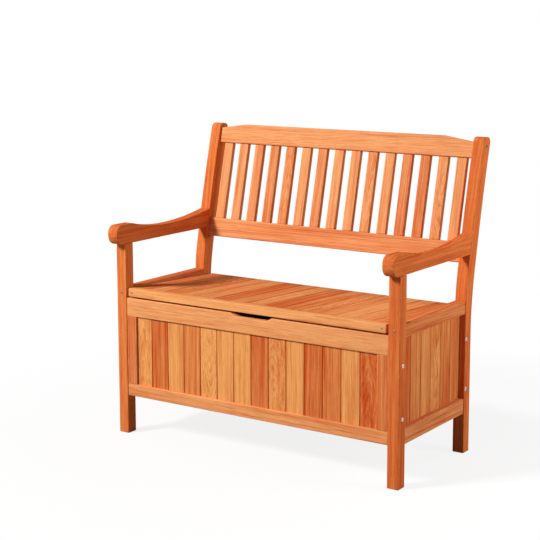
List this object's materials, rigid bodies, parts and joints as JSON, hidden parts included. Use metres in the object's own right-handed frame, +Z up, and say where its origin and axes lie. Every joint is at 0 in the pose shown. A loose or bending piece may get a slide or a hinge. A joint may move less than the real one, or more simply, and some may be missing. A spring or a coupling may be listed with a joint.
{
  "type": "garden storage bench",
  "caption": "Wooden garden bench with a slatted back, curved armrests and a boarded box under a hinged seat lid held open by two gas stays.",
  "frame": {"origin": "centre of the footprint, on the floor", "axes": "+X along the bench to the right as seen from the front, +Y from front to back, +Z up; the sitter faces -Y"},
  "size_m": [1, 0.5752, 0.938],
  "materials": {
    "frame_wood": "satin",
    "back_wood": "satin",
    "panel_frame_wood": "satin",
    "board_wood": "satin",
    "lid_wood": "satin",
    "plated_steel": "satin",
    "stay_steel": "satin"
  },
  "bodies": {
    "frame": {"front_leg_left": "frame_wood", "front_leg_right": "frame_wood", "rear_leg_left": "frame_wood", "rear_leg_right": "frame_wood", "armrest_left": "frame_wood", "armrest_right": "frame_wood", "back_top_rail": "back_wood", "back_bottom_rail": "back_wood", "back_slat_01": "back_wood", "back_slat_02": "back_wood", "back_slat_03": "back_wood", "back_slat_04": "back_wood", "back_slat_05": "back_wood", "back_slat_06": "back_wood", "back_slat_07": "back_wood", "back_slat_08": "back_wood", "back_slat_09": "back_wood", "back_slat_10": "back_wood", "back_slat_11": "back_wood", "back_slat_12": "back_wood", "back_slat_13": "back_wood", "back_slat_14": "back_wood", "back_slat_15": "back_wood", "front_top_rail": "panel_frame_wood", "front_bottom_rail": "panel_frame_wood", "rear_top_rail": "panel_frame_wood", "rear_bottom_rail": "panel_frame_wood", "front_stile_left": "panel_frame_wood", "front_stile_right": "panel_frame_wood", "rear_stile_left": "panel_frame_wood", "rear_stile_right": "panel_frame_wood", "side_top_rail_left": "panel_frame_wood", "side_top_rail_right": "panel_frame_wood", "side_bottom_rail_left": "panel_frame_wood", "side_bottom_rail_right": "panel_frame_wood", "front_boards": "board_wood", "rear_boards": "board_wood", "side_boards_left": "board_wood", "side_boards_right": "board_wood", "floor_panel": "board_wood", "hinge_leaf_frame_left": "plated_steel", "hinge_leaf_frame_right": "plated_steel", "hinge_pin_left": "stay_steel", "hinge_pin_right": "stay_steel", "stay_foot_left": "plated_steel", "stay_foot_right": "plated_steel"},
    "lid": {"lid_front_rail": "lid_wood", "lid_boards": "lid_wood", "lid_rear_rail": "lid_wood", "lid_batten": "lid_wood", "lid_stile_left": "lid_wood", "lid_stile_right": "lid_wood", "hinge_leaf_lid_left": "plated_steel", "hinge_leaf_lid_right": "plated_steel", "stay_head_left": "plated_steel", "stay_head_right": "plated_steel"},
    "left_stay_rod": {"stay_rod_left": "plated_steel"},
    "left_stay_tube": {"stay_tube_left": "stay_steel"},
    "right_stay_rod": {"stay_rod_right": "plated_steel"},
    "right_stay_tube": {"stay_tube_right": "stay_steel"}
  },
  "joints": [
    {"name": "lid_hinge", "type": "hinge", "parent": "frame", "child": "lid", "pos_m": [0, 0.18893, 0.4145], "axis": [-1, 0, 0], "range_deg": [0, 69]},
    {"name": "left_stay_head", "type": "hinge", "parent": "lid", "child": "left_stay_rod", "pos_m": [-0.44, 0.0899, 0.4076], "axis": [1, 0, 0], "range_deg": [0, 85.55]},
    {"name": "left_stay_stroke", "type": "slide", "parent": "left_stay_rod", "child": "left_stay_tube", "axis": [0, -0.9988, -0.0496], "range_m": [0, 0.07549]},
    {"name": "right_stay_head", "type": "hinge", "parent": "lid", "child": "right_stay_rod", "pos_m": [0.44, 0.0899, 0.4076], "axis": [1, 0, 0], "range_deg": [0, 85.55]},
    {"name": "right_stay_stroke", "type": "slide", "parent": "right_stay_rod", "child": "right_stay_tube", "axis": [0, -0.9988, -0.0496], "range_m": [0, 0.07549]}
  ],
  "couplings": [
    {"joint": "left_stay_head", "follows": "lid_hinge", "ratio": 1.2398},
    {"joint": "left_stay_stroke", "follows": "lid_hinge", "m_per_rad": 0.062683},
    {"joint": "right_stay_head", "follows": "lid_hinge", "ratio": 1.2398},
    {"joint": "right_stay_stroke", "follows": "lid_hinge", "m_per_rad": 0.062683}
  ]
}
